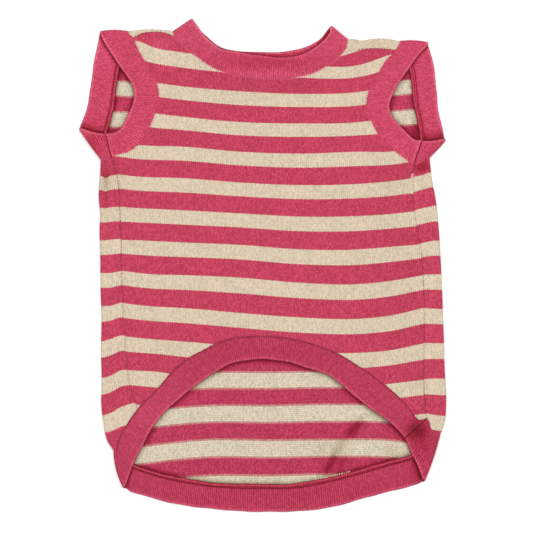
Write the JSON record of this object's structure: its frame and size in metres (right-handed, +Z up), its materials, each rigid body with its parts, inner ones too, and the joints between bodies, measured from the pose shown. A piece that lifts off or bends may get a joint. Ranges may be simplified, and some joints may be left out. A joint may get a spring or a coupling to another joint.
{
  "type": "dog t-shirt",
  "caption": "Striped knit dog t-shirt laid flat: a belly panel with an arched hem over a longer back panel, with doubled rib bands round the neck, armholes and hem.",
  "frame": {"origin": "under the middle of the shirt, on the surface that it lies on", "axes": "+Z up, +Y towards the neck, +X to the right as seen from above with the neck away from the viewer"},
  "size_m": [0.2862, 0.3844, 0.0044],
  "materials": {
    "striped_jersey": "fine-gauge single jersey in even rose and cream stripes, matt",
    "rose_rib": "fine one-by-one rib, folded double, matt"
  },
  "bodies": {
    "root": {"front_panel": "striped_jersey", "back_panel": "striped_jersey", "neck_band": "rose_rib", "armhole_band_left": "rose_rib", "armhole_band_right": "rose_rib", "hem_band": "rose_rib"}
  },
  "joints": []
}
